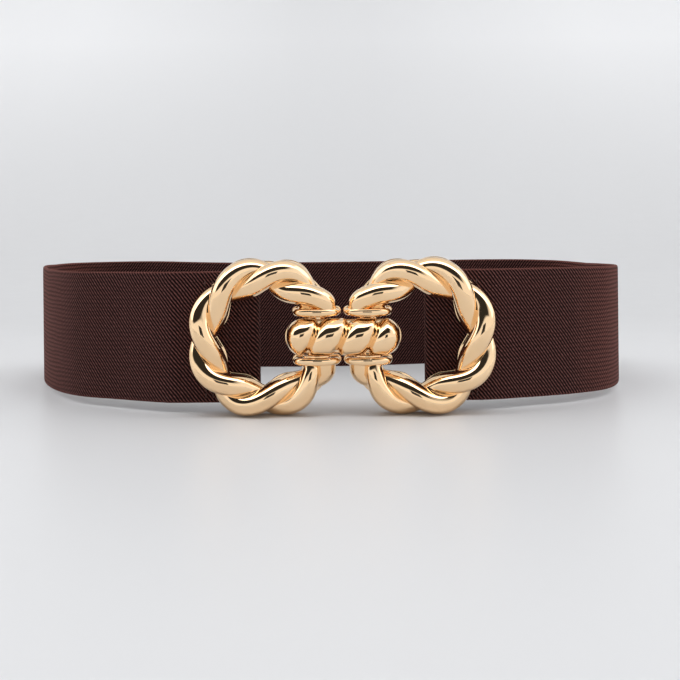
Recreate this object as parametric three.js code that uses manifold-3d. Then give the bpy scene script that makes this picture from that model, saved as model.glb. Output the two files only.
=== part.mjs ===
// An elastic stretch belt, standing on its edge as a closed loop with its buckle fastened.
// Millimetres. +X is to the right, +Y to the back of the loop, +Z up.
// The origin is the middle of the belt's footprint, on the surface that it stands on.
import * as THREE from "three";
import { mergeVertices } from "three/addons/utils/BufferGeometryUtils.js";
import Module from "manifold-3d";

const wasm = await Module();
wasm.setup();

// Band
const bandWidth = 60; // height of the standing band
const bandThickness = 2; // one layer of webbing
const bandDrop = 0.9; // the front's middle below the ring's centre
const loopHalfWidth = 156; // half of the loop from side to side
const loopDepth = 122; // from the band's front layer to the middle of its back
const loopTurn = 3.4; // degrees by which the loop is turned behind the buckle
const loopRise = 0.9; // share of the loop's depth over which the front hangs off the surface
const foldedEndLength = 24; // second layer behind each end, from the bar to the cut edge
const foldRelease = 12; // from the bar to where the two layers meet
const layerGap = 0.3; // between the two stitched layers

// Ring
const ringCentreOffset = 35.3; // ring centre from the buckle's middle
const ringRadius = 26.7; // centre line of the rope
const strandRadius = 5;
const strandSwing = 4; // strand's distance from the centre line, in the ring's plane
const strandSwingAtUpperCollar = 4.6;
const strandSwingAtLowerCollar = 4.2;
const strandRadiusAtLowerCollar = 3.5; // of the strand in front
const strandTaper = 36; // degrees of arc over which it narrows
const collarBend = 16; // degrees of arc in which the rope turns upright onto its collar
const strandDepthSwing = 3; // the strand's swing from front to back
const ringFloorReach = 35.5; // ring centre above the surface
const ringGapToBand = 0.3; // flat back of the ring to the band's front layer
const ringHalfDepth = 6.4; // centre line to the ring's flat back
const collarAngle = 24.5; // where the rope ends in its collars, from the ring's axis

// Collars and post
const collarWidth = 21.3;
const collarDepth = 12.6;
const collarHeight = 3.3;
const collarSpacing = 21.8; // between the middles of the two collars
const collarMiddleGap = 1.9; // between the left and right collars
const neckWidth = 12.9;
const neckDepth = 7.6;
const neckLength = 0.7; // how far the neck stands out of the collar
const neckSetBack = 1; // neck's middle behind the rope's
const postWidth = 8.6;
const postDepth = 4.8;

// Bar that holds the band
const barDiameter = 3;
const barOffset = 41.5; // bar from the buckle's middle
const lugWidth = 5;
const upperLugHeight = 3.8;
const lowerLugHeight = 2.1;
const lugReach = 9; // how far the lugs run forward of the bar, into the rope

// Barrel
const barrelLength = 50.6;
const barrelMiddle = 0.4; // barrel's middle from the buckle's middle
const barrelRadius = 8.3;
const barrelCoreRadius = 5; // under the lobes
const barrelEndRound = 7.2;
const lobeCount = 4;
const lobeSpacing = 13.4;
const lobeThickness = 14.4;
const lobeLength = 22.3;
const lobeLean = 44; // degrees from upright
const barrelSink = 3.5; // barrel's axis in front of its flat back
const barrelBackPlate = 1.6; // plain back that shows between the lobes
const barrelBackLength = 52.4;
const barrelBackHeight = 15;
const hookWidth = 11; // height of the hooks behind the posts
const hookThickness = 2;
const hookMouth = 8; // half of the opening between the two hooks

const clearance = 0.3; // between pieces that touch
const sink = 0.1; // how far one part of a casting runs into the next

// Mesh fineness
const strandSteps = 50;
const strandSides = 12;
const lobeSides = 16;
const roundSides = 20;
const bandPoints = 140;

// Each front crossing of the two strands: its angle round the ring in degrees from the open side, the
// centre line's radius there as a share of ringRadius, and the swing as a share of strandSwing
const crossings = [
  { name: "upper collar", angle: 4, radius: 0.985, swing: 1 },
  { name: "first", angle: 45, radius: 1.01, swing: 1 },
  { name: "second", angle: 86, radius: 1.02, swing: 1.05 },
  { name: "third", angle: 133, radius: 1.005, swing: 0.87 },
  { name: "fourth", angle: 179, radius: 1.01, swing: 0.8 },
  { name: "fifth", angle: 225, radius: 1.05, swing: 0.88 },
  { name: "sixth", angle: 269, radius: 1.05, swing: 0.96 },
  { name: "seventh", angle: 316, radius: 1.06, swing: 0.96 },
  { name: "lower collar", angle: 360, radius: 1.04, swing: 0.96 },
];

// The band's route behind the buckle, each place as a share of the loop's half width and depth
const route = [
  { name: "left ring", across: -0.41, back: 0.03 },
  { name: "left front", across: -0.5, back: 0.04 },
  { name: "left front slope", across: -0.66, back: 0.145 },
  { name: "left front bend", across: -0.815, back: 0.27 },
  { name: "left side front", across: -0.94, back: 0.52 },
  { name: "left side", across: -1.008, back: 0.84 },
  { name: "left back bend", across: -0.975, back: 1.06 },
  { name: "left back corner", across: -0.86, back: 1.135 },
  { name: "left back", across: -0.6, back: 1.1 },
  { name: "back left of middle", across: -0.25, back: 1.01 },
  { name: "back middle", across: 0.06, back: 0.985 },
  { name: "back right of middle", across: 0.36, back: 1.01 },
  { name: "right back", across: 0.66, back: 1.065 },
  { name: "right back corner", across: 0.86, back: 1.035 },
  { name: "right back bend", across: 0.922, back: 0.9 },
  { name: "right side", across: 0.949, back: 0.66 },
  { name: "right side front", across: 0.932, back: 0.41 },
  { name: "right front bend", across: 0.843, back: 0.19 },
  { name: "right front slope", across: 0.72, back: 0.085 },
  { name: "right front", across: 0.52, back: 0 },
  { name: "right ring", across: 0.42, back: -0.03 },
];

const webbing = new THREE.MeshStandardMaterial({
  name: "webbing",
  color: 0x34201e,
  roughness: 0.9,
  metalness: 0,
});
const gold = new THREE.MeshStandardMaterial({
  name: "gold",
  color: 0xe8c696,
  roughness: 0.12,
  metalness: 1,
});

// Sizes that follow from the ones above. y = 0 is the front face of the band's front layer.
const ringY = -ringGapToBand - ringHalfDepth;
const ringBackY = -ringGapToBand;
const ringX = -ringCentreOffset;
const ringZ = ringFloorReach;
const bandMiddleZ = ringZ - bandDrop;
const bandFrontLift = bandMiddleZ - bandWidth / 2;
const collarX = -(collarMiddleGap + collarWidth) / 2;
const postY = ringBackY - clearance - postDepth / 2;
const barY = bandThickness + clearance + barDiameter / 2;
const barX = -barOffset;
const barrelBackY = postY - postDepth / 2 - clearance;
const barrelY = barrelBackY - barrelSink;

// A three.js geometry as a solid that can be joined and cut.
function solid(geometry) {
  const bare = geometry.clone();
  bare.deleteAttribute("normal");
  bare.deleteAttribute("uv");
  const merged = mergeVertices(bare, 1e-4);
  return new wasm.Manifold(
    new wasm.Mesh({
      numProp: 3,
      vertProperties: new Float32Array(merged.attributes.position.array),
      triVerts: new Uint32Array(merged.index.array),
    }),
  );
}

function meshOf(body, name, material) {
  const m = body.getMesh();
  const positions = new Float32Array(m.numVert * 3);
  for (let i = 0; i < m.numVert; i++)
    positions.set(
      m.vertProperties.subarray(i * m.numProp, i * m.numProp + 3),
      i * 3,
    );
  const geometry = new THREE.BufferGeometry();
  geometry.setAttribute("position", new THREE.BufferAttribute(positions, 3));
  geometry.setIndex(new THREE.BufferAttribute(new Uint32Array(m.triVerts), 1));
  geometry.computeVertexNormals();
  const mesh = new THREE.Mesh(geometry, material);
  mesh.name = name;
  return mesh;
}

function box(width, depth, height, x, y, z) {
  return solid(new THREE.BoxGeometry(width, depth, height).translate(x, y, z));
}

// An upright round or oval rod.
function uprightRod(width, depth, height, x, y, z) {
  const rod = new THREE.CylinderGeometry(0.5, 0.5, height, roundSides);
  return solid(rod.rotateX(Math.PI / 2).scale(width, depth, 1).translate(x, y, z));
}

// A tube with closed ends along a curve that keeps off the Y direction, with a radius for each share
// of its length.
function tube(curve, radiusAt, steps, sides) {
  const positions = [];
  const faces = [];
  const deep = new THREE.Vector3(0, 1, 0);
  for (let i = 0; i <= steps; i++) {
    const share = i / steps;
    const place = curve.getPoint(share);
    const along = curve.getTangent(share);
    const flat = new THREE.Vector3().crossVectors(along, deep).normalize();
    const across = new THREE.Vector3().crossVectors(flat, along);
    for (let j = 0; j < sides; j++) {
      const a = (2 * Math.PI * j) / sides;
      const point = place
        .clone()
        .addScaledVector(flat, radiusAt(share) * Math.cos(a))
        .addScaledVector(across, radiusAt(share) * Math.sin(a));
      positions.push(point.x, point.y, point.z);
    }
  }
  for (let i = 0; i < steps; i++)
    for (let j = 0; j < sides; j++) {
      const here = i * sides + j;
      const beside = i * sides + ((j + 1) % sides);
      faces.push(here, beside + sides, beside, here, here + sides, beside + sides);
    }
  const last = steps * sides;
  for (let j = 1; j < sides - 1; j++) faces.push(0, j, j + 1, last, last + j + 1, last + j);
  const geometry = new THREE.BufferGeometry();
  geometry.setAttribute("position", new THREE.Float32BufferAttribute(positions, 3));
  geometry.setIndex(faces);
  return solid(geometry);
}

// The twist in half turns, and the ring's radius and swing, at an angle of the ring: a smooth
// line through the table of crossings.
function ropeAt(angle) {
  const last = crossings.length - 1;
  let i = 1;
  while (i < last && crossings[i].angle < angle) i++;
  const row = (k) => crossings[THREE.MathUtils.clamp(k, 0, last)];
  const span = row(i).angle - row(i - 1).angle;
  const s = (angle - row(i - 1).angle) / span;
  const through = (value) => {
    const start = (value(i) - value(i - 2)) / (row(i).angle - row(i - 2).angle);
    const end = (value(i + 1) - value(i - 1)) / (row(i + 1).angle - row(i - 1).angle);
    return (
      THREE.MathUtils.lerp(value(i - 1), value(i), s * s * (3 - 2 * s)) +
      span * start * s * (1 - s) * (1 - s) -
      span * end * s * s * (1 - s)
    );
  };
  return {
    halfTurns: through((k) => THREE.MathUtils.clamp(k, 0, last)),
    radius: ringRadius * through((k) => row(k).radius),
    swing: strandSwing * through((k) => row(k).swing),
  };
}

// One of the two strands of the left ring, from the upper collar round to the lower one.
class RingStrand extends THREE.Curve {
  constructor(turnedBy) {
    super();
    this.turnedBy = turnedBy;
  }
  getPoint(share, target = new THREE.Vector3()) {
    const angle = THREE.MathUtils.lerp(collarAngle, 360 - collarAngle, share);
    const rope = ropeAt(angle);
    const twist = Math.PI * (rope.halfTurns - 0.5) + this.turnedBy;
    const fromEnd = Math.min(angle - collarAngle, 360 - collarAngle - angle);
    const free = THREE.MathUtils.smoothstep(fromEnd, 0, collarBend);
    const atCollar = share < 0.5 ? strandSwingAtUpperCollar : strandSwingAtLowerCollar;
    const swing = THREE.MathUtils.lerp(atCollar, rope.swing, free);
    const a = THREE.MathUtils.degToRad(angle);
    const across = ringX + rope.radius * Math.cos(a);
    return target.set(
      THREE.MathUtils.lerp(collarX, across, free) + swing * Math.cos(twist) * Math.cos(a),
      ringY - strandDepthSwing * Math.sin(twist),
      ringZ + (rope.radius + swing * Math.cos(twist)) * Math.sin(a),
    );
  }
}

// A collar: an oval disc with a rounded rim.
function collar(z) {
  const half = collarHeight / 2;
  const rim = [new THREE.Vector2(0, -half)];
  for (let i = 0; i <= 6; i++) {
    const a = -Math.PI / 2 + (Math.PI * i) / 6;
    rim.push(
      new THREE.Vector2(collarWidth / 2 - half + half * Math.cos(a), half * Math.sin(a)),
    );
  }
  rim.push(new THREE.Vector2(0, half));
  const disc = new THREE.LatheGeometry(rim, roundSides);
  disc.rotateX(Math.PI / 2).scale(1, collarDepth / collarWidth, 1);
  return solid(disc.translate(collarX, ringY, z));
}

function leftRing() {
  const backCut = box(200, 40, 200, ringX, ringBackY + 20, ringZ);
  const arc = 360 - 2 * collarAngle;
  const narrowing = (share) =>
    THREE.MathUtils.lerp(
      strandRadiusAtLowerCollar,
      strandRadius,
      THREE.MathUtils.smoothstep((1 - share) * arc, 0, strandTaper),
    );
  let ring = tube(new RingStrand(0), narrowing, strandSteps, strandSides)
    .add(tube(new RingStrand(Math.PI), () => strandRadius, strandSteps, strandSides))
    .subtract(backCut);
  for (const side of [1, -1]) {
    const z = ringZ + (side * collarSpacing) / 2;
    const neckZ = z - side * (collarHeight / 2 + neckLength / 2 - sink);
    const neckY = ringY + neckSetBack;
    ring = ring
      .add(collar(z))
      .add(uprightRod(neckWidth, neckDepth, neckLength + 2 * sink, collarX, neckY, neckZ));
  }
  ring = ring.add(uprightRod(postWidth, postDepth, collarSpacing, collarX, postY, ringZ));
  const upperLugZ = bandMiddleZ + bandWidth / 2 + clearance + upperLugHeight / 2;
  const lowerLugZ = bandMiddleZ - bandWidth / 2 - clearance - lowerLugHeight / 2;
  for (const [z, height] of [
    [upperLugZ, upperLugHeight],
    [lowerLugZ, lowerLugHeight],
  ]) {
    ring = ring
      .add(box(lugWidth, lugReach, height, barX, barY - lugReach / 2, z))
      .add(uprightRod(lugWidth, lugWidth, height, barX, barY, z));
  }
  const barTop = upperLugZ + upperLugHeight / 4;
  const barBottom = lowerLugZ - lowerLugHeight / 4;
  return ring.add(
    uprightRod(barDiameter, barDiameter, barTop - barBottom, barX, barY, (barTop + barBottom) / 2),
  );
}

// A lying round bar as long as the barrel, with rounded ends.
function roundBar(radius, endRound) {
  const half = barrelLength / 2;
  const outline = [new THREE.Vector2(0, -half)];
  for (const end of [-1, 1])
    for (let i = 0; i <= 5; i++) {
      const a = ((end < 0 ? i - 5 : i) * Math.PI) / 10;
      outline.push(
        new THREE.Vector2(
          radius - endRound + endRound * Math.cos(a),
          end * (half - endRound) + endRound * Math.sin(a),
        ),
      );
    }
  outline.push(new THREE.Vector2(0, half));
  const bar = new THREE.LatheGeometry(outline, roundSides);
  return solid(bar.rotateZ(-Math.PI / 2).translate(barrelMiddle, barrelY, ringZ));
}

// The barrel's thin plain back, with rounded ends.
function barrelBack() {
  const half = barrelBackLength / 2;
  const round = barrelBackHeight / 2;
  const outline = new THREE.Shape();
  outline.absarc(half - round, 0, round, -Math.PI / 2, Math.PI / 2, false);
  outline.absarc(round - half, 0, round, Math.PI / 2, (3 * Math.PI) / 2, false);
  const plate = new THREE.ExtrudeGeometry(outline, {
    depth: barrelBackPlate,
    curveSegments: 8,
    bevelEnabled: false,
  });
  return solid(plate.rotateX(Math.PI / 2).translate(barrelMiddle, barrelBackY, ringZ));
}

function barrel() {
  let body = roundBar(barrelCoreRadius, barrelCoreRadius - 1);
  for (let i = 0; i < lobeCount; i++) {
    const lobe = new THREE.SphereGeometry(0.5, lobeSides, 12);
    lobe.scale(lobeThickness, 2 * barrelRadius, lobeLength);
    lobe.rotateY(THREE.MathUtils.degToRad(lobeLean));
    const along = (i - (lobeCount - 1) / 2) * lobeSpacing;
    body = body.add(solid(lobe.translate(barrelMiddle + along, barrelY, ringZ)));
  }
  body = body
    .intersect(roundBar(barrelRadius, barrelEndRound))
    .subtract(box(2 * barrelLength, 40, 60, barrelMiddle, barrelBackY + 20, ringZ))
    .add(barrelBack());
  const hookBackY = postY + postDepth / 2 + clearance;
  for (const side of [-1, 1]) {
    const wallInner = -collarX + postWidth / 2 + clearance;
    const wallX = side * (wallInner + hookThickness / 2);
    const wallDepth = hookBackY + hookThickness - barrelBackY + hookThickness;
    const wallY = barrelBackY - hookThickness + wallDepth / 2;
    const plateLength = wallInner + hookThickness - hookMouth;
    body = body
      .add(box(hookThickness, wallDepth, hookWidth, wallX, wallY, ringZ))
      .add(
        box(
          plateLength,
          hookThickness,
          hookWidth,
          side * (hookMouth + plateLength / 2),
          hookBackY + hookThickness / 2,
          ringZ,
        ),
      );
  }
  return body;
}

// A strip of webbing of one thickness along a line of points in plan, standing upright.
function strip(points, thickness) {
  const sideOf = (i) => {
    const a = points[Math.max(i - 1, 0)];
    const b = points[Math.min(i + 1, points.length - 1)];
    return new THREE.Vector2(a.y - b.y, b.x - a.x).normalize();
  };
  const left = points.map((p, i) => p.clone().addScaledVector(sideOf(i), thickness / 2));
  const right = points.map((p, i) => p.clone().addScaledVector(sideOf(i), -thickness / 2));
  const outline = new THREE.Shape([...right, ...left.reverse()]);
  return solid(
    new THREE.ExtrudeGeometry(outline, { depth: bandWidth, bevelEnabled: false }),
  );
}

// A folded end, from its cut edge back to the bar and round it to the front layer.
function foldedEnd(frontLayer, side) {
  const turn = barDiameter / 2 + clearance + bandThickness / 2;
  const points = [];
  let run = 0;
  for (let i = 0; run < foldedEndLength; i++) {
    const along = frontLayer[i + 1].clone().sub(frontLayer[i]);
    const inward = new THREE.Vector2(-side * along.y, side * along.x).normalize();
    const together = THREE.MathUtils.smoothstep(run, 0, foldRelease);
    const apart = THREE.MathUtils.lerp(2 * turn, bandThickness + layerGap, together);
    points.unshift(frontLayer[i].clone().addScaledVector(inward, apart));
    run += along.length();
  }
  for (let i = 1; i < 10; i++) {
    const a = Math.PI / 2 - (Math.PI * i) / 10;
    points.push(
      new THREE.Vector2(side * (barOffset - turn * Math.cos(a)), barY + turn * Math.sin(a)),
    );
  }
  return points;
}

function band() {
  const frontY = bandThickness / 2;
  const turn = new THREE.Vector3(0, 0, 1);
  const places = route.map((place) =>
    new THREE.Vector3(place.across * loopHalfWidth, frontY + place.back * loopDepth, 0)
      .applyAxisAngle(turn, THREE.MathUtils.degToRad(loopTurn)),
  );
  const leftEnd = new THREE.Vector3(-barOffset, frontY, 0);
  const rightEnd = new THREE.Vector3(barOffset, frontY, 0);
  const line = new THREE.CatmullRomCurve3([leftEnd, ...places, rightEnd], false, "centripetal");
  // The run behind the rings is flat, so the curve keeps off them.
  const loop = line
    .getSpacedPoints(bandPoints)
    .map((p) => new THREE.Vector2(p.x, Math.max(p.y, frontY)));
  const leftFold = foldedEnd(loop, -1);
  const rightFold = foldedEnd([...loop].reverse(), 1);
  const body = strip([...leftFold, ...loop, ...rightFold.reverse()], bandThickness);
  // The front hangs from the buckle, and the back rests on the surface.
  return body.warp((v) => {
    const toFront = THREE.MathUtils.clamp(1 - v[1] / (loopRise * loopDepth), 0, 1);
    v[2] += bandFrontLift * toFront;
  });
}

const belt = new THREE.Group();
const left = leftRing();
belt.add(
  meshOf(band(), "elastic_band", webbing),
  meshOf(left, "buckle_ring_left", gold),
  meshOf(left.mirror([1, 0, 0]), "buckle_ring_right", gold),
  meshOf(barrel(), "clasp_barrel", gold),
);

// The origin goes to the middle of the footprint.
const footprint = new THREE.Box3().setFromObject(belt);
const middle = footprint.getCenter(new THREE.Vector3());
belt.position.set(-middle.x, -middle.y, -footprint.min.z);

export default belt;
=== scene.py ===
"""An elastic stretch belt with a twisted rope buckle, standing on a pale studio floor."""

import math

import bpy
import numpy as np
from mathutils import Matrix, Vector


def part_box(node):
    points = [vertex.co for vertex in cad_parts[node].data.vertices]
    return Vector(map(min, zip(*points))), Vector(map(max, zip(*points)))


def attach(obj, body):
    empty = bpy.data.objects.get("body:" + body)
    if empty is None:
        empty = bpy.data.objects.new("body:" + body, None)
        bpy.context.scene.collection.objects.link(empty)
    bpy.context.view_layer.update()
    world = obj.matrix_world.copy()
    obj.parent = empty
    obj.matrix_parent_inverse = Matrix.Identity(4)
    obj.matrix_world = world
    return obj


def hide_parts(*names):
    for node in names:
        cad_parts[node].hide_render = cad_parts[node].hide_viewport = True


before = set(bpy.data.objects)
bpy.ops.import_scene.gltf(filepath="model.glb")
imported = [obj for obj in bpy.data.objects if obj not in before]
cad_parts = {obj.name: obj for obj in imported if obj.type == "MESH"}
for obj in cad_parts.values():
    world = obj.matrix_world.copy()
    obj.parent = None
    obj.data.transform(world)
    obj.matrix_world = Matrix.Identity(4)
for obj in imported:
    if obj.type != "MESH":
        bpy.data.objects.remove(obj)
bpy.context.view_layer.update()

MM = 0.001

# View: picture side, horizon row and focal length in pixels, roll in radians, and the camera's
# place in millimetres from the buckle's middle
PICTURE_SIDE = 680
HORIZON_ROW = 207.9
FOCAL_LENGTH = 952.5
MIDDLE_SHIFT = -0.2
CAMERA_ROLL = 0.010
CAMERA_PLACE = -0.4, -434.5, 93.0
SENSOR_WIDTH = 36

# Sizes in millimetres, the same as the solids have
BAND_WIDTH = 60
BAND_THICKNESS = 2
BAND_DROP = 0.9
LOOP_HALF_WIDTH = 156
LOOP_DEPTH = 122
LOOP_TURN = 3.4  # degrees
LOOP_RISE = 0.9
FOLDED_END_LENGTH = 24
FOLD_RELEASE = 12
LAYER_GAP = 0.3
RING_CENTRE_OFFSET = 35.3
RING_RADIUS = 26.7
STRAND_RADIUS = 5
STRAND_SWING = 4
STRAND_SWING_AT_UPPER_COLLAR = 4.6
STRAND_SWING_AT_LOWER_COLLAR = 4.2
STRAND_RADIUS_AT_LOWER_COLLAR = 3.5
STRAND_TAPER = 36  # degrees
COLLAR_BEND = 16  # degrees
STRAND_DEPTH_SWING = 3
RING_FLOOR_REACH = 35.5
RING_GAP_TO_BAND = 0.3
RING_HALF_DEPTH = 6.4
COLLAR_ANGLE = 24.5  # degrees
COLLAR_WIDTH = 21.3
COLLAR_DEPTH = 12.6
COLLAR_HEIGHT = 3.3
COLLAR_SPACING = 21.8
COLLAR_MIDDLE_GAP = 1.9
NECK_WIDTH = 12.9
NECK_DEPTH = 7.6
NECK_LENGTH = 0.7
NECK_SET_BACK = 1
POST_WIDTH = 8.6
POST_DEPTH = 4.8
BAR_DIAMETER = 3
BAR_OFFSET = 41.5
LUG_WIDTH = 5
UPPER_LUG_HEIGHT = 3.8
LOWER_LUG_HEIGHT = 2.1
LUG_REACH = 9
BARREL_LENGTH = 50.6
BARREL_MIDDLE = 0.4
BARREL_RADIUS = 8.3
BARREL_END_ROUND = 7.2
LOBE_COUNT = 4
LOBE_SPACING = 13.4
LOBE_THICKNESS = 14.4
LOBE_LENGTH = 22.3
LOBE_LEAN = 44  # degrees
BARREL_SINK = 3.5
BARREL_BACK_PLATE = 1.6
BARREL_BACK_LENGTH = 52.4
BARREL_BACK_HEIGHT = 15
HOOK_WIDTH = 11
HOOK_THICKNESS = 2
HOOK_MOUTH = 8
CLEARANCE = 0.3

# Sizes in millimetres that only this model has
BACK_BOW = 0.7
BACK_EDGE_IN_MIDDLE = 0.9
BACK_EDGE_AT_LEFT = 2.3
BACK_EDGE_AT_RIGHT = 0.2
BAND_EDGE_ROUND = 1.2
PLAN_STEP = 1.1
RIM_THICKNESS = 1.8
RIM_STANDS_OUT = 0.2
RIM_NOTCH_FILL = 0.34, 0.1  # least share of the full swing, outside and inside the ring
COLLAR_BACK_EXTRA_WIDTH = 0.9
COLLAR_BACK_EXTRA_HEIGHT = 1
SOFT_EDGE = 0.4
RIM_SOFT_EDGE = 0.45
BOX_SOFT_EDGE = 0.35
BAR_SOFT_EDGE = 0.2
STITCH_LENGTH = 2.3
STITCH_PITCH = 3.0
THREAD_RADIUS = 0.28
STITCH_INSETS = 2.6, 5.0
STITCH_MARGIN = 2.2
HAIR = 0.004  # keeps two surfaces, or a loop's points, from falling together

# Each front crossing of the two strands: angle, radius share, swing share
CROSSINGS = np.array(
    [
        (4, 0.985, 1),
        (45, 1.01, 1),
        (86, 1.02, 1.05),
        (133, 1.005, 0.87),
        (179, 1.01, 0.8),
        (225, 1.05, 0.88),
        (269, 1.05, 0.96),
        (316, 1.06, 0.96),
        (360, 1.04, 0.96),
    ]
)

# The band's route behind the buckle: shares of the loop's half width and depth
ROUTE = [
    (-0.41, 0.03),
    (-0.5, 0.04),
    (-0.66, 0.145),
    (-0.815, 0.27),
    (-0.94, 0.52),
    (-1.008, 0.84),
    (-0.975, 1.06),
    (-0.86, 1.135),
    (-0.6, 1.1),
    (-0.25, 1.01),
    (0.06, 0.985),
    (0.36, 1.01),
    (0.66, 1.065),
    (0.86, 1.035),
    (0.922, 0.9),
    (0.949, 0.66),
    (0.932, 0.41),
    (0.843, 0.19),
    (0.72, 0.085),
    (0.52, 0),
    (0.42, -0.03),
]

# Weave, in metres
RIB_ALONG = 0.00164
RIB_ACROSS = 0.0021
CORD_PERIOD = 0.00195
EDGE_THREAD_PERIOD = 0.0012
EDGE_CORD_AND_HIGHLIGHT_FROM = 0.0292
EDGE_CORD_AND_HIGHLIGHT_TO = 0.0296
TURN_FROM = 0.118
TURN_TO = 0.146

# Studio: screen tones of the paper, with painted shade behind the belt and in the wall's middle and
# painted light at the wall's sides, and how bright each part of the tent is
FLOOR_TONE = 213
FLOOR_BEHIND_SHADE_TONE = 198
WALL_MIDDLE_SHADE_TONE = 216
WALL_SIDE_LIGHT_TONE = 229
TENT_FRONT = 1.0
TENT_BACK = 0.88
TENT_GAP = 0.03
STRIP_LIGHT = 3.8
SIDE_LIGHT = 1.9
TENT_TINT = 0.99, 1.0, 1.012

# Degrees from the front horizon over the top, from the front round, and above the horizon
GAP_FROM, GAP_TO = 27.0, 60
STRIP_FROM, STRIP_TO = 64, 83
SIDE_FROM, SIDE_TO = 72, 112
SIDE_LOW, SIDE_HIGH = 14, 50

RING_Y = -RING_GAP_TO_BAND - RING_HALF_DEPTH
RING_BACK_Y = -RING_GAP_TO_BAND
RING_Z = RING_FLOOR_REACH
BAND_MIDDLE_Z = RING_Z - BAND_DROP
BAND_FRONT_LIFT = BAND_MIDDLE_Z - BAND_WIDTH / 2
COLLAR_X = -(COLLAR_MIDDLE_GAP + COLLAR_WIDTH) / 2
POST_Y = RING_BACK_Y - CLEARANCE - POST_DEPTH / 2
BAR_Y = BAND_THICKNESS + CLEARANCE + BAR_DIAMETER / 2
BARREL_BACK_Y = POST_Y - POST_DEPTH / 2 - CLEARANCE
BARREL_Y = BARREL_BACK_Y - BARREL_SINK

# The buckle's middle, at the front face of the band, in the frame's own place
left_low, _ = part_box("buckle_ring_left")
_, right_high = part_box("buckle_ring_right")
band_low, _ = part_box("elastic_band")
ORIGIN = Vector(((left_low.x + right_high.x) / 2, band_low.y, 0))


def placed(points):
    """Points in millimetres from the buckle's middle, as metres in the frame."""
    return np.asarray(points, float) * MM + np.array(ORIGIN)


def smoothstep(x, low, high):
    t = np.clip((np.asarray(x, float) - low) / (high - low), 0, 1)
    return t * t * (3 - 2 * t)


def lerp(a, b, t):
    return a + (b - a) * t


def run_along(line):
    """How far along a line each of its points is."""
    return np.concatenate([[0], np.cumsum(np.linalg.norm(np.diff(line, axis=0), axis=1))])


def tangents(line):
    along = np.gradient(line, axis=0)
    along /= np.linalg.norm(along, axis=1, keepdims=True)
    return along


def linked(name, mesh):
    thing = bpy.data.objects.new(name, mesh)
    bpy.context.scene.collection.objects.link(thing)
    return thing


def mesh_object(name, points, faces, sharp, uv=None):
    """A smooth mesh from points in millimetres; edges sharper than an angle stay crisp."""
    mesh = bpy.data.meshes.new(name)
    mesh.from_pydata([tuple(p) for p in placed(points)], [], [tuple(f) for f in faces])
    mesh.validate(clean_customdata=False)
    mesh.update()
    if uv is not None:
        layer = mesh.uv_layers.new(name="UVMap")
        corner = np.zeros(len(mesh.loops), np.int32)
        mesh.loops.foreach_get("vertex_index", corner)
        layer.data.foreach_set("uv", np.asarray(uv, np.float32)[corner].ravel())
    mesh.shade_smooth()
    mesh.set_sharp_from_angle(angle=math.radians(sharp))
    return linked(name, mesh)


class Build:
    """Collects closed shells of points and faces into one mesh."""

    def __init__(self):
        self.points, self.faces = [], []

    def rings(self, rows):
        """Joins closed loops of points, each as long, into a closed shell."""
        rows = np.asarray(rows, float)
        n, m = rows.shape[:2]
        start = len(self.points)
        faces = []
        for i in range(start, start + (n - 1) * m, m):
            for j in range(m):
                k = (j + 1) % m
                faces.append((i + j, i + m + j, i + m + k, i + k))
        faces.append(tuple(range(start, start + m)))
        faces.append(tuple(reversed(range(start + (n - 1) * m, start + n * m))))
        self.points.extend(rows.reshape(-1, 3).tolist())
        self.faces.extend(faces)

    def mirrored(self):
        other = Build()
        other.points = [(-x, y, z) for x, y, z in self.points]
        other.faces = [tuple(reversed(f)) for f in self.faces]
        return other

    def make(self, name, sharp=35, uv=None):
        return mesh_object(name, self.points, self.faces, sharp, uv)


# Camera


def make_camera():
    data = bpy.data.cameras.new("camera")
    data.sensor_width, data.sensor_fit = SENSOR_WIDTH, "HORIZONTAL"
    data.lens = FOCAL_LENGTH / PICTURE_SIDE * SENSOR_WIDTH
    data.shift_x = MIDDLE_SHIFT / PICTURE_SIDE
    data.shift_y = -(PICTURE_SIDE / 2 - HORIZON_ROW) / PICTURE_SIDE
    data.clip_start, data.clip_end = 0.01, 100
    camera = linked("camera", data)
    matrix = Matrix.Rotation(math.pi / 2, 4, "X") @ Matrix.Rotation(-CAMERA_ROLL, 4, "Z")
    matrix.translation = ORIGIN + MM * Vector(CAMERA_PLACE)
    camera.matrix_world = matrix
    bpy.context.scene.camera = camera


# Plain bodies


def quarter(steps):
    return np.linspace(0, math.pi / 2, steps)


def lathe(build, outline, sides, place, squash):
    """An upright turned body: outline holds (radius, height) from its lower end to its upper."""
    least_radius = 1e-3
    turn = np.linspace(0, 2 * math.pi, sides, endpoint=False)
    rows = []
    for radius, height in outline:
        radius = max(radius, least_radius)
        level = np.full(sides, float(height))
        loop = np.stack([radius * np.cos(turn), radius * np.sin(turn), level], axis=1)
        rows.append(loop * np.array(squash) + np.array(place))
    build.rings(rows)


def plate(build, length, height, thickness, place):
    """A thin upright plate with round ends and softened edges; its back is at the place."""
    x, back_y, z = place
    half, round_by = length / 2, height / 2
    turn = np.linspace(-math.pi / 2, math.pi / 2, 40)
    outline = [(half - round_by + round_by * math.cos(a), round_by * math.sin(a)) for a in turn]
    outline = np.array(outline + [(-across, -up) for across, up in outline])
    rows = []
    for a in quarter(6):
        inset, y = SOFT_EDGE * (1 - math.sin(a)), SOFT_EDGE * (1 - math.cos(a)) - thickness
        rows.append((inset, y))
    for a in quarter(6):
        rows.append((SOFT_EDGE * (1 - math.cos(a)), -SOFT_EDGE * (1 - math.sin(a))))
    loops = []
    for inset, y in rows:
        scale = np.array([1 - inset / half, 1 - inset / round_by])
        across, up = (outline * scale).T
        loops.append(np.stack([x + across, np.full(len(outline), back_y + y), z + up], axis=1))
    build.rings(np.asarray(loops)[::-1])


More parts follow.
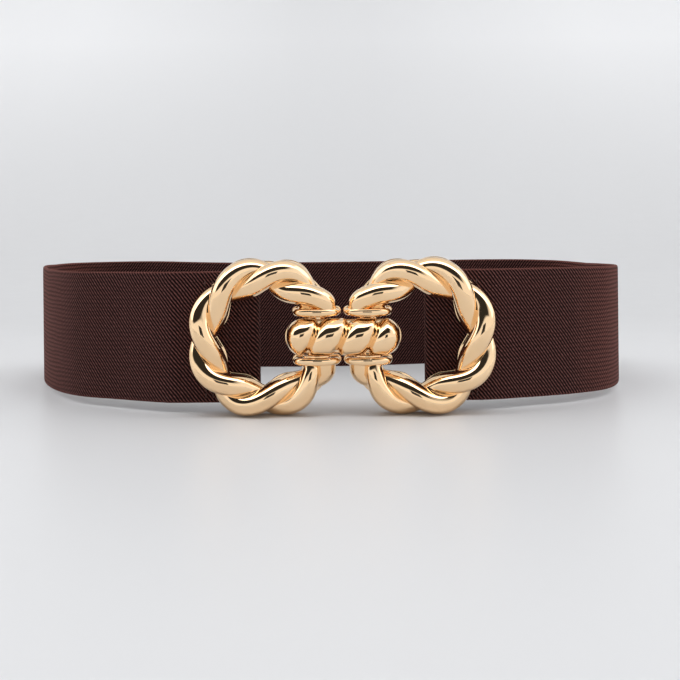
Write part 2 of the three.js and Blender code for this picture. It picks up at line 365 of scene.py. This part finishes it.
def rounded_rod(build, width, depth, low, high, x, y, round_by=SOFT_EDGE):
    """An upright oval rod with softened ends."""
    share = round_by / width
    outline = [(0, low)]
    for a in quarter(5):
        outline.append((0.5 - share * (1 - math.sin(a)), low + round_by * (1 - math.cos(a))))
    for a in quarter(5):
        outline.append((0.5 - share * (1 - math.cos(a)), high - round_by * (1 - math.sin(a))))
    outline.append((0, high))
    lathe(build, outline, 48, (x, y, 0), (width, depth, 1))


def rounded_box(build, size, middle):
    """A box with rounded edges, as loops of a rounded rectangle."""
    width, depth, height = size
    round_by = BOX_SOFT_EDGE
    inset_share = 0.98  # leaves the end loops' corners a little round

    def outline(inset):
        points = []
        for sx, sy, turn in ((1, 1, 0), (-1, 1, 1), (-1, -1, 2), (1, -1, 3)):
            for a in quarter(5) + turn * math.pi / 2:
                x = sx * (width / 2 - round_by) + (round_by - inset) * math.cos(a)
                y = sy * (depth / 2 - round_by) + (round_by - inset) * math.sin(a)
                points.append((x, y))
        return points

    rows = []
    for a in quarter(5):
        inset, z = round_by * (1 - math.sin(a)), -height / 2 + round_by * (1 - math.cos(a))
        rows.append([(x, y, z) for x, y in outline(inset * inset_share)])
    for a in quarter(5):
        inset, z = round_by * (1 - math.cos(a)), height / 2 - round_by * (1 - math.sin(a))
        rows.append([(x, y, z) for x, y in outline(inset * inset_share)])
    build.rings(np.asarray(rows) + np.array(middle))


# Rings


def rope_at(angle):
    """Half turns, radius and swing at angles of the ring, through the table of crossings."""
    angle = np.asarray(angle, float)
    last = len(CROSSINGS) - 1
    i = np.clip(np.searchsorted(CROSSINGS[:, 0], angle), 1, last)

    def row(k, column):
        return CROSSINGS[np.clip(k, 0, last), column]

    span = row(i, 0) - row(i - 1, 0)
    s = (angle - row(i - 1, 0)) / span

    def through(value):
        start = (value(i) - value(i - 2)) / (row(i, 0) - row(i - 2, 0))
        end = (value(i + 1) - value(i - 1)) / (row(i + 1, 0) - row(i - 1, 0))
        return (
            lerp(value(i - 1), value(i), s * s * (3 - 2 * s))
            + span * start * s * (1 - s) * (1 - s)
            - span * end * s * s * (1 - s)
        )

    return (
        through(lambda k: np.clip(k, 0, last).astype(float)),
        RING_RADIUS * through(lambda k: row(k, 1)),
        STRAND_SWING * through(lambda k: row(k, 2)),
    )


def from_collars(angle):
    """0 where the rope meets a collar, and 1 from the end of its bend on."""
    from_end = np.minimum(angle - COLLAR_ANGLE, 360 - COLLAR_ANGLE - angle)
    return smoothstep(from_end, 0, COLLAR_BEND)


def strand_line(turned_by, share):
    angle = lerp(COLLAR_ANGLE, 360 - COLLAR_ANGLE, share)
    half_turns, radius, full_swing = rope_at(angle)
    twist = math.pi * (half_turns - 0.5) + turned_by
    free = from_collars(angle)
    at_collar = np.where(share < 0.5, STRAND_SWING_AT_UPPER_COLLAR, STRAND_SWING_AT_LOWER_COLLAR)
    swing = lerp(at_collar, full_swing, free)
    a = np.radians(angle)
    across = -RING_CENTRE_OFFSET + radius * np.cos(a)
    return np.stack(
        [
            lerp(COLLAR_X, across, free) + swing * np.cos(twist) * np.cos(a),
            RING_Y - STRAND_DEPTH_SWING * np.sin(twist),
            RING_Z + (radius + swing * np.cos(twist)) * np.sin(a),
        ],
        axis=1,
    )


def sweep(line, radii, sides):
    """Circles of points round a line, one for each of its points."""
    along = tangents(line)
    flat = np.cross(along, np.array([0, 1, 0]))
    flat /= np.linalg.norm(flat, axis=1, keepdims=True)
    deep = np.cross(flat, along)
    turn = np.linspace(0, 2 * math.pi, sides, endpoint=False)
    return (
        line[:, None]
        + flat[:, None] * (radii[:, None] * np.cos(turn))[..., None]
        + deep[:, None] * (radii[:, None] * np.sin(turn))[..., None]
    )


def collar(build, z):
    """An oval disc with a rounded rim, on the casting's flat back."""
    half = COLLAR_HEIGHT / 2
    outline = [(0, -half)]
    for a in np.linspace(-math.pi / 2, math.pi / 2, 15):
        outline.append((COLLAR_WIDTH / 2 - half + half * math.cos(a), half * math.sin(a)))
    outline.append((0, half))
    lathe(build, outline, 96, (COLLAR_X, RING_Y, z), (1, COLLAR_DEPTH / COLLAR_WIDTH, 1))
    width = COLLAR_WIDTH + COLLAR_BACK_EXTRA_WIDTH
    height = COLLAR_HEIGHT + COLLAR_BACK_EXTRA_HEIGHT
    plate(build, width, height, RIM_THICKNESS, (COLLAR_X, RING_BACK_Y, z))


def ring_rim(build):
    """The casting's thin flat back, which shows as a rim in the rope's notches."""
    steps, end_share, width_at_collar = 360, 0.012, 0.9
    share = np.linspace(end_share, 1 - end_share, steps)
    angle = lerp(COLLAR_ANGLE, 360 - COLLAR_ANGLE, share)
    half_turns, radius, full_swing = rope_at(angle)
    middle = np.array([-RING_CENTRE_OFFSET, 0, RING_Z])
    swing = full_swing * np.abs(np.cos(math.pi * (half_turns - 0.5)))
    a = np.radians(angle)
    way = np.stack([np.cos(a), 0 * a, np.sin(a)], axis=1)
    free = from_collars(angle)
    rows = []
    half, round_by = RIM_THICKNESS / 2, RIM_SOFT_EDGE
    for side, least in zip((1, -1), RIM_NOTCH_FILL):
        reach = np.maximum(swing, least * full_swing) + STRAND_RADIUS + RIM_STANDS_OUT
        reach = lerp(STRAND_RADIUS * width_at_collar, reach, free)
        for up in (-1, 1) if side > 0 else (1, -1):
            for k in (0.0, 0.5, 1.0):
                t = k if (side > 0) == (up < 0) else 1 - k
                inset = round_by * (1 - math.sin(t * math.pi / 2))
                y = up * (half - round_by * (1 - math.cos(t * math.pi / 2)))
                out = radius + side * (reach - inset)
                point = middle + way * out[:, None]
                at_collar = COLLAR_X + side * (reach - inset) * np.cos(a)
                point[:, 0] = lerp(at_collar, point[:, 0], free)
                point[:, 1] = RING_BACK_Y - half + y
                rows.append(point)
    build.rings(np.stack(rows, axis=1))


def left_ring():
    build = Build()
    ring_rim(build)
    steps, sides, cut_short = 420, 40, 4
    low, high = RING_Z - COLLAR_SPACING / 2, RING_Z + COLLAR_SPACING / 2
    share = np.linspace(0, 1, steps)
    for turned_by in (0, math.pi):
        line = strand_line(turned_by, share)
        radii = np.full(steps, float(STRAND_RADIUS))
        if turned_by == 0:
            arc = 360 - 2 * COLLAR_ANGLE
            wide = smoothstep((1 - share) * arc, 0, STRAND_TAPER)
            radii = lerp(STRAND_RADIUS_AT_LOWER_COLLAR, STRAND_RADIUS, wide)
        loops = sweep(line, radii, sides)
        # The strands run on into their collars.
        first, last = loops[0].copy(), loops[-1].copy()
        first[:, 2], last[:, 2] = high, low
        loops = np.concatenate([first[None], loops[cut_short:-cut_short], last[None]])
        # The back of the casting is flat.
        loops[..., 1] = np.minimum(loops[..., 1], RING_BACK_Y - HAIR * (turned_by > 0))
        build.rings(loops)
    for side in (1, -1):
        z = RING_Z + side * COLLAR_SPACING / 2
        collar(build, z)
        neck = z - side * (COLLAR_HEIGHT / 2 + NECK_LENGTH)
        ends = min(z, neck), max(z, neck)
        rounded_rod(build, NECK_WIDTH, NECK_DEPTH, *ends, COLLAR_X, RING_Y + NECK_SET_BACK)
    rounded_rod(build, POST_WIDTH, POST_DEPTH, low, high, COLLAR_X, POST_Y)
    upper = BAND_MIDDLE_Z + BAND_WIDTH / 2 + CLEARANCE
    lower = BAND_MIDDLE_Z - BAND_WIDTH / 2 - CLEARANCE
    for low, high in ((upper, upper + UPPER_LUG_HEIGHT), (lower - LOWER_LUG_HEIGHT, lower)):
        middle = (-BAR_OFFSET, BAR_Y - LUG_REACH / 2, (low + high) / 2)
        rounded_box(build, (LUG_WIDTH, LUG_REACH, high - low), middle)
        rounded_rod(build, LUG_WIDTH, LUG_WIDTH, low, high, -BAR_OFFSET, BAR_Y)
    bar = lower - 1, upper + 1, -BAR_OFFSET, BAR_Y
    rounded_rod(build, BAR_DIAMETER, BAR_DIAMETER, *bar, round_by=BAR_SOFT_EDGE)
    return build


# Barrel


def soft_least(a, b, sharp=36):
    return (a**-sharp + b**-sharp) ** (-1 / sharp)


def barrel_radius(x):
    """The round bar's outline along the barrel."""
    from_end = BARREL_LENGTH / 2 - np.abs(x - BARREL_MIDDLE)
    into = np.clip(1 - from_end / BARREL_END_ROUND, 0, 1)
    inside = BARREL_RADIUS - BARREL_END_ROUND * (1 - np.sqrt(1 - into * into))
    return np.where(from_end > 0, inside, 0)


def lobe(build, along):
    """One leaning lobe of the barrel, kept inside the round bar."""
    lean = math.radians(LOBE_LEAN)
    across = np.array([math.cos(lean), 0, -math.sin(lean)])
    long_way = np.array([math.sin(lean), 0, math.cos(lean)])
    around, over = 128, 96
    turn = np.linspace(0, 2 * math.pi, around, endpoint=False)
    rows = []
    for v in np.linspace(math.pi - HAIR, HAIR, over):
        rows.append(
            (math.sin(v) * np.cos(turn))[:, None] * across * LOBE_THICKNESS / 2
            + (math.sin(v) * np.sin(turn))[:, None] * np.array([0, BARREL_RADIUS, 0])
            + math.cos(v) * long_way * LOBE_LENGTH / 2
        )
    rows = np.asarray(rows)
    # Each point keeps its direction from the lobe's middle; halving finds the bar's surface.
    reach = np.linalg.norm(rows, axis=2)
    way = rows / reach[..., None]
    near, far = np.zeros(reach.shape), np.full(reach.shape, 40.0)
    for _ in range(30):
        middle = (near + far) / 2
        out = np.hypot(way[..., 1], way[..., 2]) * middle
        inside = out < barrel_radius(along + way[..., 0] * middle)
        near, far = np.where(inside, middle, near), np.where(inside, far, middle)
    rows = way * soft_least(reach, near)[..., None] + np.array([along, BARREL_Y, RING_Z])
    rows[..., 1] = np.minimum(rows[..., 1], BARREL_BACK_Y - 0.01)
    build.rings(rows)


def barrel():
    build = Build()
    for i in range(LOBE_COUNT):
        lobe(build, BARREL_MIDDLE + (i - (LOBE_COUNT - 1) / 2) * LOBE_SPACING)
    back = (BARREL_MIDDLE, BARREL_BACK_Y, RING_Z)
    plate(build, BARREL_BACK_LENGTH, BARREL_BACK_HEIGHT, BARREL_BACK_PLATE, back)
    # Hooks behind the posts, which start 1 mm inside the back plate
    hook_back = POST_Y + POST_DEPTH / 2 + CLEARANCE
    wall_inner = -COLLAR_X + POST_WIDTH / 2 + CLEARANCE
    depth = hook_back + HOOK_THICKNESS - BARREL_BACK_Y + 1
    length = wall_inner + HOOK_THICKNESS - HOOK_MOUTH
    for side in (-1, 1):
        wall = (side * (wall_inner + HOOK_THICKNESS / 2), BARREL_BACK_Y - 1 + depth / 2, RING_Z)
        rounded_box(build, (HOOK_THICKNESS, depth, HOOK_WIDTH), wall)
        tongue = (side * (HOOK_MOUTH + length / 2), hook_back + HOOK_THICKNESS / 2, RING_Z)
        rounded_box(build, (length, HOOK_THICKNESS, HOOK_WIDTH), tongue)
    return build


# Band


def smooth_line(points, per_span=60):
    """A centripetal Catmull-Rom curve through points."""
    p = np.asarray(points, float)
    p = np.vstack([2 * p[0] - p[1], p, 2 * p[-1] - p[-2]])
    out = []
    for i in range(1, len(p) - 2):
        p0, p1, p2, p3 = p[i - 1 : i + 3]
        pairs = ((p0, p1), (p1, p2), (p2, p3))
        d0, d1, d2 = (max(math.sqrt(np.linalg.norm(b - a)), 1e-4) for a, b in pairs)
        t1 = ((p1 - p0) / d0 - (p2 - p0) / (d0 + d1) + (p2 - p1) / d1) * d1
        t2 = ((p2 - p1) / d1 - (p3 - p1) / (d1 + d2) + (p3 - p2) / d2) * d1
        s = np.linspace(0, 1, per_span, endpoint=False)[:, None]
        square, cube = -3 * p1 + 3 * p2 - 2 * t1 - t2, 2 * p1 - 2 * p2 + t1 + t2
        out.append(p1 + t1 * s + square * s**2 + cube * s**3)
    out.append(p[-2][None])
    return np.vstack(out)


def evenly(line, step):
    """The line's points again, at even distances."""
    run = run_along(line)
    count = max(2, int(round(run[-1] / step)) + 1)
    at = np.linspace(0, run[-1], count)
    return np.stack([np.interp(at, run, line[:, k]) for k in range(line.shape[1])], axis=1)


def folded_end(front_layer, side):
    """A folded end's plan, from its cut edge back to the bar and round it."""
    turn = BAR_DIAMETER / 2 + CLEARANCE + BAND_THICKNESS / 2
    run = run_along(front_layer)
    keep = run <= FOLDED_END_LENGTH
    along = tangents(front_layer)
    inward = np.stack([-side * along[:, 1], side * along[:, 0]], axis=1)
    together = smoothstep(run, 0, FOLD_RELEASE)
    apart = lerp(2 * turn, BAND_THICKNESS + LAYER_GAP, together)
    tail = (front_layer + inward * apart[:, None])[keep][::-1]
    steps = 24
    angles = math.pi / 2 - math.pi * np.arange(1, steps) / steps
    across, back = side * (BAR_OFFSET - turn * np.cos(angles)), BAR_Y + turn * np.sin(angles)
    return np.vstack([tail, np.stack([across, back], axis=1)])


def band_plan():
    """The strip's middle line in plan, from one cut end to the other."""
    front = BAND_THICKNESS / 2
    cos, sin = math.cos(math.radians(LOOP_TURN)), math.sin(math.radians(LOOP_TURN))
    places = [(x * LOOP_HALF_WIDTH, front + y * LOOP_DEPTH) for x, y in ROUTE]
    places = [(x * cos - y * sin, x * sin + y * cos) for x, y in places]
    line = smooth_line([(-BAR_OFFSET, front), *places, (BAR_OFFSET, front)])
    line[:, 1] = np.maximum(line[:, 1], front)
    loop = evenly(line, PLAN_STEP)
    left = folded_end(loop, -1)
    right = folded_end(loop[::-1], 1)
    return np.vstack([left, loop, right[::-1]])


PLAN = band_plan()
PLAN_RUN = run_along(PLAN)


def front_rise(y):
    """The front hangs from the bars, and the band comes down to the floor towards the back."""
    return BAND_FRONT_LIFT * np.clip(1 - y / (LOOP_RISE * LOOP_DEPTH), 0, 1)


def back_rise(x, y, width_share):
    """The elastic's back bows up in the middle, and its top edge stands a little higher."""
    back = smoothstep(y, 20, 100)
    bow = BACK_BOW * (1 - smoothstep(np.abs(x), 100, 145))
    end = np.where(x < 0, BACK_EDGE_AT_LEFT, BACK_EDGE_AT_RIGHT)
    edge = lerp(BACK_EDGE_IN_MIDDLE, end, smoothstep(np.abs(x), 60, 140))
    return back * (bow + edge * width_share)


def band_section():
    """Half thickness and place across the width, round the strip's section."""
    half_width, half = BAND_WIDTH / 2, BAND_THICKNESS / 2
    edge_share, flat_margin = 0.93, 1.9
    edge = []
    for a in np.linspace(0.0, math.pi, 11):
        up = half_width - BAND_EDGE_ROUND + BAND_EDGE_ROUND * math.sin(a)
        edge.append((half * edge_share * math.cos(a), up))
    across = np.linspace(-1, 1, 27) * (half_width - flat_margin)
    points = [(half, w) for w in across]
    points += edge
    points += [(-half, w) for w in across[::-1]]
    points += [(-d, -w) for d, w in edge]
    return np.array(points)


def elastic_band():
    along = tangents(PLAN)
    # Out of the loop for a strip that goes round clockwise seen from above.
    out = np.stack([-along[:, 1], along[:, 0]], axis=1)
    section = band_section()
    rows = np.zeros((len(PLAN), len(section), 3))
    rows[..., :2] = PLAN[:, None] + out[:, None] * section[:, 0][None, :, None]
    rows[..., 2] = BAND_MIDDLE_Z - BAND_FRONT_LIFT + section[:, 1]
    rows[..., 2] += front_rise(rows[..., 1])
    rows[..., 2] += back_rise(rows[..., 0], rows[..., 1], 0.5 + section[:, 1] / BAND_WIDTH)
    uv = np.zeros((len(PLAN), len(section), 2))
    uv[..., 0] = (PLAN_RUN * MM)[:, None]
    uv[..., 1] = (section[:, 1] * MM)[None]
    build = Build()
    build.rings(rows)
    return build.make("elastic_webbing", sharp=60, uv=uv.reshape(-1, 2))


def band_frame(run_at):
    """The strip's middle in plan, its direction and its outward direction, at a run along it."""
    ahead_by = 0.8
    here = np.array([np.interp(run_at, PLAN_RUN, PLAN[:, k]) for k in (0, 1)])
    ahead = np.array([np.interp(run_at + ahead_by, PLAN_RUN, PLAN[:, k]) for k in (0, 1)])
    along = (ahead - here) / np.linalg.norm(ahead - here)
    return here, along, np.array([-along[1], along[0]])


def stitch(build, middle, along, face_out, low):
    """One stitch: a thread that comes up out of the webbing and goes down again."""
    sides, sink_by = 8, 0.35
    turn = np.linspace(0, 2 * math.pi, sides, endpoint=False)
    loops = []
    for t in np.linspace(0, math.pi, 9):
        z = low + STITCH_LENGTH / 2 * (1 - math.cos(t))
        size = THREAD_RADIUS * math.sin(t) ** 0.5 + 0.01
        sink = sink_by * (1 - math.sin(t) ** 0.5)
        plan = (
            middle
            - face_out * sink
            + np.cos(turn)[:, None] * along * size
            + np.sin(turn)[:, None] * face_out * size
        )
        height = BAND_MIDDLE_Z - BAND_FRONT_LIFT + z + front_rise(middle[1])
        loops.append(np.column_stack([plan, np.full(sides, height)]))
    build.rings(np.asarray(loops))


def stitches():
    """Two rows of sewing through both layers, a little in from each cut edge."""
    build = Build()
    # The front layer lies straight in front of the folded one, past the bend round the bar.
    bend = FOLDED_END_LENGTH + 10
    loop = (PLAN_RUN > bend) & (PLAN_RUN < PLAN_RUN[-1] - bend)
    for end in (0, 1):
        for inset in STITCH_INSETS:
            folded = inset if end == 0 else PLAN_RUN[-1] - inset
            place, _, _ = band_frame(folded)
            front = PLAN_RUN[loop][np.linalg.norm(PLAN[loop] - place, axis=1).argmin()]
            for at in (folded, front):
                here, along, face_out = band_frame(at)
                middle = here + face_out * (BAND_THICKNESS / 2 + THREAD_RADIUS * 0.35)
                for k in range(int((BAND_WIDTH - 4) / STITCH_PITCH)):
                    low = -BAND_WIDTH / 2 + STITCH_MARGIN + k * STITCH_PITCH
                    stitch(build, middle, along, face_out, low)
    return build.make("band_stitches", sharp=180)


# Materials


class Graph:
    """Short calls for the nodes of a material or of the world."""

    def __init__(self, tree):
        self.tree = tree

    def node(self, kind, **settings):
        made = self.tree.nodes.new(kind)
        for key, value in settings.items():
            setattr(made, key, value)
        return made

    def put(self, socket, value):
        if isinstance(value, bpy.types.NodeSocket):
            self.tree.links.new(value, socket)
        else:
            socket.default_value = value

    def math(self, what, *values, clamp=False):
        made = self.node("ShaderNodeMath", operation=what, use_clamp=clamp)
        for socket, value in zip(made.inputs, values):
            self.put(socket, value)
        return made.outputs[0]

    def split(self, vector):
        made = self.node("ShaderNodeSeparateXYZ")
        self.put(made.inputs[0], vector)
        return made.outputs

    def coordinate(self, which):
        return self.node("ShaderNodeTexCoord").outputs[which]


class Nodes(Graph):
    """A material and short calls for its nodes."""

    def __init__(self, name):
        self.material = bpy.data.materials.new(name)
        self.material.use_nodes = True
        super().__init__(self.material.node_tree)
        self.shader = next(n for n in self.tree.nodes if n.type == "BSDF_PRINCIPLED")

    def shade(self, name, value):
        self.put(self.shader.inputs[name], value)

    def noise(self, at, scale, detail=2.0):
        made = self.node("ShaderNodeTexNoise")
        self.put(made.inputs["Vector"], at)
        made.inputs["Scale"].default_value = scale
        made.inputs["Detail"].default_value = detail
        return made.outputs["Fac"]

    def spread(self, value, low, high, to_low=0.0, to_high=1.0):
        made = self.node("ShaderNodeMapRange", clamp=True)
        names = ("Value", "From Min", "From Max", "To Min", "To Max")
        for name, v in zip(names, (value, low, high, to_low, to_high)):
            self.put(made.inputs[name], v)
        return made.outputs[0]

    def mix(self, share, a, b):
        made = self.node("ShaderNodeMix", data_type="RGBA")
        self.put(made.inputs[0], share)
        self.put(made.inputs[6], a)
        self.put(made.inputs[7], b)
        return made.outputs[2]

    def bump(self, height, strength, distance):
        made = self.node("ShaderNodeBump")
        made.inputs["Strength"].default_value = strength
        made.inputs["Distance"].default_value = distance
        self.put(made.inputs["Height"], height)
        self.shade("Normal", made.outputs[0])


def linear(r, g, b):
    """A colour of the screen, from 0 to 255, as the shader takes it."""

    def one(c):
        return c / 12.92 if c <= 0.04045 else ((c + 0.055) / 1.055) ** 2.4

    return one(r / 255), one(g / 255), one(b / 255), 1.0


def webbing_material():
    """Twill whose map runs in metres: u along the strip and v across it."""
    n = Nodes("webbing_twill")
    u, v, _ = n.split(n.node("ShaderNodeUVMap", uv_map="UVMap").outputs[0])

    def stretched(along, up, detail):
        at = n.node("ShaderNodeCombineXYZ")
        n.put(at.inputs[0], n.math("MULTIPLY", u, along))
        n.put(at.inputs[1], n.math("MULTIPLY", v, up))
        return n.noise(at.outputs[0], 1.0, detail)

    def astray(noise, by):
        return n.math("MULTIPLY", n.math("SUBTRACT", noise, 0.5), by)

    def wave(phase):
        turn = n.math("SINE", n.math("MULTIPLY", phase, 2 * math.pi))
        return n.math("MULTIPLY_ADD", turn, 0.5, 0.5)

    # The rubber cords show more where the band turns back, and there the band is painted lighter, a
    # painted sheen.
    across = n.split(n.coordinate("Object"))[0]
    turned = n.spread(n.math("ABSOLUTE", across), TURN_FROM, TURN_TO)
    # Uneven threads bend the ribs a little.
    wander = astray(stretched(110, 110, 2), 0.6)
    slant = n.math("SUBTRACT", n.math("DIVIDE", u, RIB_ALONG), n.math("DIVIDE", v, RIB_ACROSS))
    rib = wave(n.math("ADD", slant, wander))
    # Rubber cords run along the band, and cut each rib into short floats.
    sway = n.math("ADD", astray(stretched(26, 60, 2), 1.4), n.math("MULTIPLY", wander, 0.5))
    cord = wave(n.math("ADD", n.math("DIVIDE", v, CORD_PERIOD), sway))
    cut = n.math("MULTIPLY_ADD", turned, 0.3, 0.42)
    cut = n.math("MULTIPLY", cut, n.math("SUBTRACT", 1.0, cord))
    floats = n.math("SUBTRACT", 1.0, cut)
    thread = n.math("MULTIPLY", n.math("POWER", rib, 2.6), floats)
    grain = stretched(1100, 1500, 2)
    streak = stretched(30, 640, 3)
    patch = stretched(14, 22, 3)
    # Thread tops are lighter and the grooves between them dark: the weave's own two tones, with
    # painted shade in the grooves.
    thread_tone_and_groove_shade = n.math("MULTIPLY", thread, n.spread(grain, 0.25, 0.75, 0.5, 1.35))
    colour = n.mix(thread_tone_and_groove_shade, linear(12, 1, 1), linear(128, 83, 78))
    colour = n.mix(n.spread(streak, 0.5, 0.7, 0, 0.16), colour, linear(76, 40, 36))
    colour = n.mix(n.spread(patch, 0.3, 0.75, 0, 0.1), colour, linear(30, 10, 9))
    # The turning ends are painted lighter along the cords: a painted sheen where the band turns
    # away.
    ends = n.math("MULTIPLY", turned, n.math("MULTIPLY_ADD", cord, 0.42, 0.1))
    colour = n.mix(ends, colour, linear(128, 77, 69))
    # The woven edge is a cord with its own raised threads, painted lighter as a painted highlight
    # along the band's edges.
    edge = n.spread(n.math("ABSOLUTE", v), EDGE_CORD_AND_HIGHLIGHT_FROM, EDGE_CORD_AND_HIGHLIGHT_TO)
    colour = n.mix(n.math("MULTIPLY", edge, 0.6), colour, linear(104, 60, 52))
    n.shade("Base Color", colour)
    n.shade("Roughness", n.spread(thread, 0, 1, 0.95, 0.74))
    n.shader.inputs["Specular IOR Level"].default_value = 0.12
    n.shader.inputs["Sheen Weight"].default_value = 0.07
    n.shader.inputs["Sheen Roughness"].default_value = 0.45
    n.shader.inputs["Sheen Tint"].default_value = (0.9, 0.42, 0.36, 1)
    edge_thread = wave(n.math("DIVIDE", u, EDGE_THREAD_PERIOD))
    height = n.math("ADD", thread, n.math("MULTIPLY", grain, 0.3))
    edge_height = n.math("MULTIPLY", n.math("MULTIPLY", edge_thread, edge), 0.4)
    height = n.math("ADD", height, edge_height)
    height = n.math("ADD", height, n.math("MULTIPLY", streak, 0.5))
    n.bump(height, 0.8, 0.0004)
    return n.material


def stitch_material():
    n = Nodes("sewing_thread")
    place = n.coordinate("Object")
    n.shade("Base Color", n.mix(n.noise(place, 1800), linear(40, 22, 20), linear(86, 54, 48)))
    n.shade("Roughness", n.spread(n.noise(place, 4000), 0, 1, 0.55, 0.8))
    n.bump(n.noise(place, 5200), 0.5, 0.0001)
    return n.material


def gold_material():
    n = Nodes("polished_gold")
    place = n.coordinate("Object")
    cloud = n.noise(place, 60, 3)
    fine = n.noise(place, 900, 3)
    wear = n.noise(place, 240, 4)
    deep, pale = (0.955, 0.668, 0.39, 1), (0.985, 0.71, 0.44, 1)
    n.shade("Base Color", n.mix(n.spread(cloud, 0.3, 0.7), deep, pale))
    n.shader.inputs["Metallic"].default_value = 1.0
    n.shade("Roughness", n.spread(wear, 0.35, 0.75, 0.04, 0.085))
    n.bump(n.math("ADD", cloud, n.math("MULTIPLY", fine, 0.015)), 0.10, 0.0006)
    return n.material


def floor_material():
    """Pale paper with painted shade: a little darker behind the belt than in front of it, and on
    the wall darker in the middle than at the lighter sides.
    """
    n = Nodes("studio_floor")
    place = n.coordinate("Object")
    x, y, z = n.split(place)
    tones = (FLOOR_TONE, FLOOR_BEHIND_SHADE_TONE, WALL_MIDDLE_SHADE_TONE, WALL_SIDE_LIGHT_TONE)
    front, behind, middle, side = (linear(t, t, t + 1) for t in tones)
    # The wall's sides are painted lighter and its middle darker: painted light and shade.
    wall_side_light = n.spread(n.math("ABSOLUTE", x), 0.12, 0.95)
    wall_side_light = n.math("ADD", wall_side_light, n.math("MULTIPLY", n.noise(place, 1.5), 0.05), clamp=True)
    wall = n.mix(wall_side_light, middle, side)
    # The floor is painted darker towards the back: painted shade behind the belt.
    floor = n.mix(n.spread(y, -0.02, 0.3), front, behind)
    n.shade("Base Color", n.mix(n.spread(z, 0.02, 0.7), floor, wall))
    n.shade("Roughness", n.spread(n.noise(place, 30), 0, 1, 0.36, 0.42))
    n.shader.inputs["Specular IOR Level"].default_value = 0.3
    return n.material


def card_material():
    n = Nodes("dark_card")
    cloud = n.noise(n.coordinate("Object"), 20)
    n.shade("Base Color", n.mix(cloud, (0.01, 0.01, 0.01, 1), (0.03, 0.03, 0.03, 1)))
    return n.material


# Studio


def make_floor():
    """A pale floor that curves up into a wall behind."""
    half_width, front, bend_start, rise, top = 9.0, -4.0, 0.7, 4.0, 7.0
    profile = [(front, 0.0), (-1.0, 0.0), (0.3, 0.0)]
    for a in quarter(48):
        profile.append((bend_start + rise * math.sin(a), rise * (1 - math.cos(a))))
    profile.append((bend_start + rise, top))
    points = [(x, y, z) for y, z in profile for x in (-half_width, half_width)]
    faces = [(2 * i, 2 * i + 1, 2 * i + 3, 2 * i + 2) for i in range(len(profile) - 1)]
    mesh = bpy.data.meshes.new("studio_floor")
    mesh.from_pydata(points, [], faces)
    mesh.shade_smooth()
    mesh.materials.append(floor_material())
    floor = linked("studio_floor", mesh)


def make_card():
    """A small dark card in front of the belt, which shows only in reflections."""
    wide, high = 0.11, 0.075
    mesh = bpy.data.meshes.new("dark_card")
    corners = [(-wide, 0, -high), (wide, 0, -high), (wide, 0, high), (-wide, 0, high)]
    mesh.from_pydata(corners, [], [(0, 1, 2, 3)])
    mesh.materials.append(card_material())
    card = linked("dark_card", mesh)
    card.location = ORIGIN + Vector((0, -0.47, 0.13))
    card.visible_camera = card.visible_diffuse = card.visible_shadow = False


def make_world():
    """A white tent: pale in front and behind, with a dark gap below the strip light above."""
    world = bpy.data.worlds.new("studio")
    bpy.context.scene.world = world
    world.use_nodes = True
    world.node_tree.nodes.clear()
    n = Graph(world.node_tree)

    def step(value, low, high):
        made = n.node("ShaderNodeMapRange", interpolation_type="SMOOTHSTEP")
        for name, v in zip(("Value", "From Min", "From Max"), (value, low, high)):
            n.put(made.inputs[name], v)
        return made.outputs[0]

    def times(a, b):
        return n.math("MULTIPLY", a, b)

    def less(a, b):
        return n.math("SUBTRACT", a, b)

    def blend(share, a, b):
        return n.math("ADD", times(less(1.0, share), a), times(share, b))

    def window(value, low, high, soft):
        rises, falls = step(value, low - soft, low + soft), step(value, high - soft, high + soft)
        return times(rises, less(1.0, falls))

    def degrees(what, *values):
        return times(n.math(what, *values), 180 / math.pi)

    x, y, z = n.split(n.coordinate("Generated"))
    over = degrees("ARCTAN2", z, times(y, -1.0))
    around = degrees("ARCTAN2", n.math("ABSOLUTE", x), times(y, -1.0))
    height = degrees("ARCSINE", z)
    # The tent stays plain near the horizon, where a view from the side sees it behind the floor.
    raised = step(height, 10, 17)
    tone = blend(step(over, 70, 120), TENT_FRONT, TENT_BACK)
    # The gap is narrower and ends towards the right.
    gap_low = n.math("MULTIPLY_ADD", x, 6.0, GAP_FROM)
    gap = times(step(less(over, gap_low), -2.0, 2.0), less(1.0, step(over, GAP_TO, GAP_TO + 4)))
    gap = times(times(gap, less(1.0, step(x, 0.45, 0.75))), raised)
    tone = blend(gap, tone, TENT_GAP)
    tone = blend(times(window(over, STRIP_FROM, STRIP_TO, 2.0), raised), tone, STRIP_LIGHT)
    sides = times(window(around, SIDE_FROM, SIDE_TO, 3.0), window(height, SIDE_LOW, SIDE_HIGH, 3.0))
    tone = blend(sides, tone, SIDE_LIGHT)
    background = n.node("ShaderNodeBackground")
    colour = n.node("ShaderNodeCombineColor")
    for socket, share in zip(colour.inputs, TENT_TINT):
        n.put(socket, times(tone, share))
    n.put(background.inputs[0], colour.outputs[0])
    n.put(n.node("ShaderNodeOutputWorld").inputs[0], background.outputs[0])


def main():
    make_camera()
    webbing, gold = webbing_material(), gold_material()
    band = elastic_band()
    ring = left_ring()
    sewing = stitches()
    pieces = [
        (sewing, "elastic_band", "webbing", stitch_material()),
        (band, "elastic_band", "webbing", webbing),
        (ring.make("rope_ring_left"), "buckle_ring_left", "gold", gold),
        (ring.mirrored().make("rope_ring_right"), "buckle_ring_right", "gold", gold),
        (barrel().make("rope_barrel"), "clasp_barrel", "gold", gold),
    ]
    for piece, node, slot, material in pieces:
        piece.data.materials.append(material)
        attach(piece, "root")
        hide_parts(node)
    make_floor()
    make_card()
    make_world()
    bpy.context.scene.view_settings.view_transform = "Standard"
    bpy.context.view_layer.update()


main()
